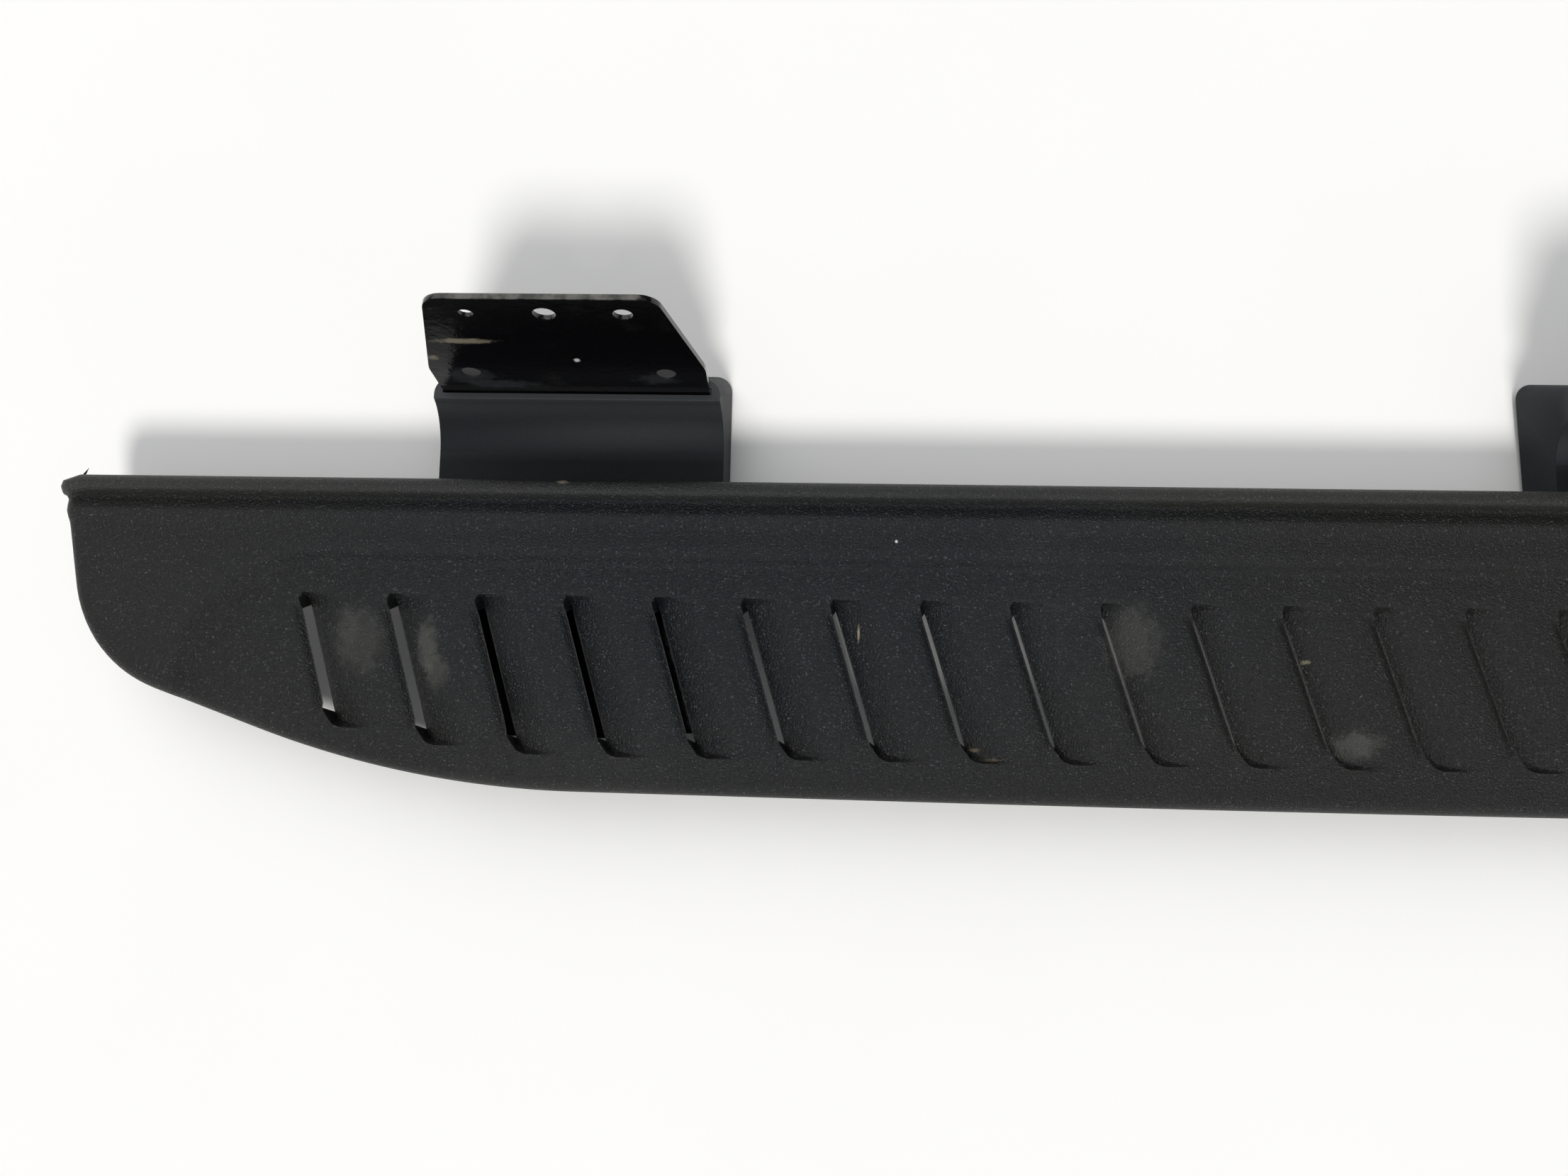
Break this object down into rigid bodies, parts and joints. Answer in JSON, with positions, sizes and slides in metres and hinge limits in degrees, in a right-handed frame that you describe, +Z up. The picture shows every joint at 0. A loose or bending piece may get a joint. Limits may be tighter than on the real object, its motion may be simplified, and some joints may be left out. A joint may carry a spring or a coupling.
{
  "type": "vehicle side step",
  "caption": "Long pressed side step with a louvred tread, raised inboard lip and swept ends, carried on folded brackets with leaning mounting plates and moulded covers.",
  "frame": {"origin": "bottom centre of the step's bounding box, on the floor that the bracket arms stand on", "axes": "+X along the board, +Y inboard towards the vehicle, +Z up"},
  "size_m": [1.8826, 0.2592, 0.159],
  "materials": {
    "board_coat": "fine-textured black powder coat",
    "bracket_coat": "glossy black dip coat",
    "cover_plastic": "satin black moulded plastic",
    "clip_plastic": "dark grey moulded plastic",
    "plated_steel": "zinc plated",
    "pad_rubber": "plain black rubber"
  },
  "bodies": {
    "root": {"step_board": "board_coat", "bracket_front": "bracket_coat", "bracket_middle": "bracket_coat", "bracket_rear": "bracket_coat", "gussets_front": "bracket_coat", "gussets_middle": "bracket_coat", "gussets_rear": "bracket_coat", "cover_front": "cover_plastic", "cover_middle": "cover_plastic", "cover_rear": "cover_plastic", "cover_clips_front": "clip_plastic", "cover_clips_middle": "clip_plastic", "cover_clips_rear": "clip_plastic", "shoulder_studs_front": "plated_steel", "shoulder_studs_middle": "plated_steel", "shoulder_studs_rear": "plated_steel", "hex_nuts_front": "plated_steel", "hex_nuts_middle": "plated_steel", "hex_nuts_rear": "plated_steel", "support_pads_front": "pad_rubber", "support_pads_middle": "pad_rubber", "support_pads_rear": "pad_rubber"}
  },
  "joints": []
}
